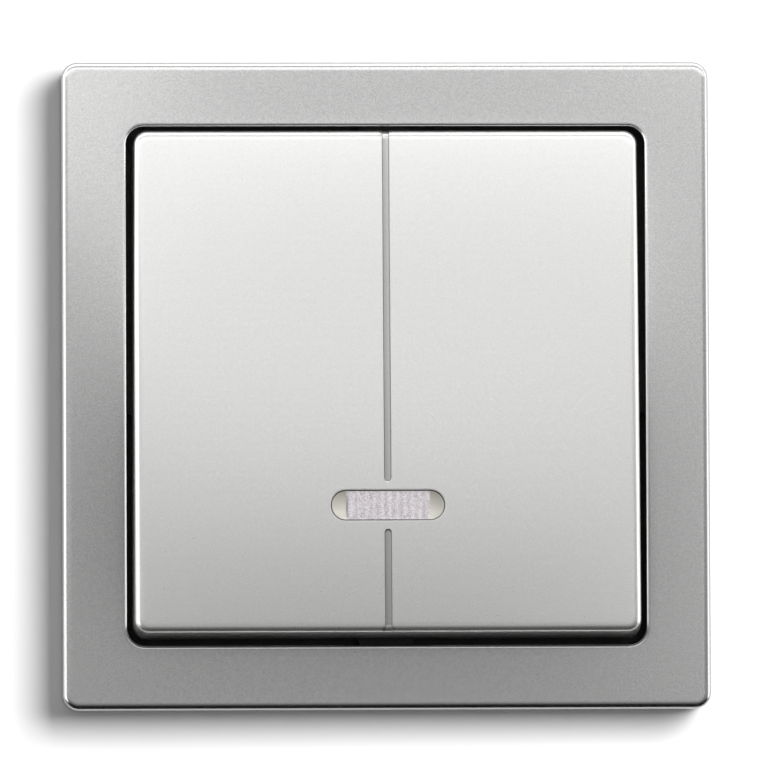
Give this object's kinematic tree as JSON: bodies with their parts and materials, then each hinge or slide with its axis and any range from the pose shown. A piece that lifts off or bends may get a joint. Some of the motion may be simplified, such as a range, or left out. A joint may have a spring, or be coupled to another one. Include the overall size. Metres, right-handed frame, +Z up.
{
  "type": "rocker wall switch",
  "caption": "Flush-mounted two-way rocker wall switch with a square satin steel frame, a one-piece silver rocker with an indicator lens, and its claw-fixed insert.",
  "frame": {"origin": "centre of the two horizontal box screws, in the wall's plane at the support ring's back face", "axes": "+X to the right seen from the front, +Y into the wall, +Z up; the rocker faces -Y"},
  "size_m": [0.0806, 0.0383, 0.0806],
  "materials": {
    "satin_steel": "fine satin ground stainless steel",
    "black_moulding": "black moulded plastic",
    "silver_lacquer": "silver metallic lacquer on moulded plastic",
    "lens": "clear smoky polycarbonate with ribs",
    "natural_moulding": "off-white moulded nylon",
    "white_moulding": "white moulded thermoplastic",
    "grey_moulding": "grey moulded plastic",
    "zinc_steel": "zinc-plated sheet and screws",
    "spring_steel": "bright spring steel",
    "brass": "stamped brass",
    "copper_alloy": "copper alloy strip",
    "contact_silver": "silver alloy contact faces",
    "diode": "clear diode body"
  },
  "bodies": {
    "insert": {"cover_frame": "satin_steel", "frame_carrier": "black_moulding", "support_ring": "zinc_steel", "insert_cover": "white_moulding", "insert_base": "white_moulding", "rear_cover": "white_moulding", "body_screws": "zinc_steel", "common_contact": "brass", "upper_contact": "brass", "lower_contact": "brass", "neutral_contact": "brass", "fixed_contact_tips": "contact_silver", "clamp_springs": "spring_steel", "lamp_housing": "grey_moulding", "lamp_diode": "diode", "lamp_pins": "brass"},
    "rocker": {"rocker_cover": "silver_lacquer", "indicator_lens": "lens", "rocker_cradle": "natural_moulding", "toggle_spring": "spring_steel"},
    "plunger": {"toggle_plunger": "natural_moulding"},
    "contact_bridge": {"contact_bridge": "copper_alloy", "bridge_contacts": "contact_silver"},
    "claw_screw_left": {"claw_screw_left": "zinc_steel"},
    "claw_nut_left": {"claw_nut_left": "zinc_steel"},
    "claw_left": {"claw_left": "zinc_steel"},
    "claw_screw_right": {"claw_screw_right": "zinc_steel"},
    "claw_nut_right": {"claw_nut_right": "zinc_steel"},
    "claw_right": {"claw_right": "zinc_steel"},
    "release_button_common": {"release_button_common": "grey_moulding"},
    "release_button_neutral": {"release_button_neutral": "grey_moulding"},
    "release_button_upper": {"release_button_upper": "grey_moulding"},
    "release_button_lower": {"release_button_lower": "grey_moulding"}
  },
  "joints": [
    {"name": "rocker_tilt", "type": "hinge", "parent": "insert", "child": "rocker", "pos_m": [0, -0.0032, 0], "axis": [1, 0, 0], "range_deg": [0, 8]},
    {"name": "plunger_slide", "type": "slide", "parent": "rocker", "child": "plunger", "axis": [0, -0.9976, 0.0698], "range_m": [0, 0.0006], "stiffness_N_per_m": 300, "springref_m": -0.001, "deforming": ["toggle_spring"]},
    {"name": "bridge_tilt", "type": "hinge", "parent": "insert", "child": "contact_bridge", "pos_m": [0, 0.0104, 0], "axis": [1, 0, 0], "range_deg": [-16, 0]},
    {"name": "claw_screw_left_turn", "type": "hinge", "parent": "insert", "child": "claw_screw_left", "pos_m": [-0.0236, 0, 0], "axis": [0, 1, 0], "range_deg": [0, 3600]},
    {"name": "claw_nut_left_travel", "type": "slide", "parent": "insert", "child": "claw_nut_left", "axis": [0, -1, 0], "range_m": [0, 0.005]},
    {"name": "claw_left_spread", "type": "hinge", "parent": "claw_nut_left", "child": "claw_left", "pos_m": [-0.0236, 0.008, 0], "axis": [0, 0, 1], "range_deg": [0, 25]},
    {"name": "claw_screw_right_turn", "type": "hinge", "parent": "insert", "child": "claw_screw_right", "pos_m": [0.0236, 0, 0], "axis": [0, 1, 0], "range_deg": [0, 3600]},
    {"name": "claw_nut_right_travel", "type": "slide", "parent": "insert", "child": "claw_nut_right", "axis": [0, -1, 0], "range_m": [0, 0.005]},
    {"name": "claw_right_spread", "type": "hinge", "parent": "claw_nut_right", "child": "claw_right", "pos_m": [0.0236, 0.008, 0], "axis": [0, 0, -1], "range_deg": [0, 25]},
    {"name": "release_common_press", "type": "slide", "parent": "insert", "child": "release_button_common", "axis": [0, -1, 0], "range_m": [0, 0.0012], "stiffness_N_per_m": 400, "springref_m": -0.0004},
    {"name": "release_neutral_press", "type": "slide", "parent": "insert", "child": "release_button_neutral", "axis": [0, -1, 0], "range_m": [0, 0.0012], "stiffness_N_per_m": 400, "springref_m": -0.0004},
    {"name": "release_upper_press", "type": "slide", "parent": "insert", "child": "release_button_upper", "axis": [0, -1, 0], "range_m": [0, 0.0012], "stiffness_N_per_m": 400, "springref_m": -0.0004},
    {"name": "release_lower_press", "type": "slide", "parent": "insert", "child": "release_button_lower", "axis": [0, -1, 0], "range_m": [0, 0.0012], "stiffness_N_per_m": 400, "springref_m": -0.0004}
  ],
  "couplings": [
    {"joint": "bridge_tilt", "follows": "rocker_tilt", "ratio": -2},
    {"joint": "claw_nut_left_travel", "follows": "claw_screw_left_turn", "m_per_rad": 0.00007957},
    {"joint": "claw_left_spread", "follows": "claw_screw_left_turn", "ratio": 0.00694},
    {"joint": "claw_nut_right_travel", "follows": "claw_screw_right_turn", "m_per_rad": 0.00007957},
    {"joint": "claw_right_spread", "follows": "claw_screw_right_turn", "ratio": 0.00694}
  ]
}
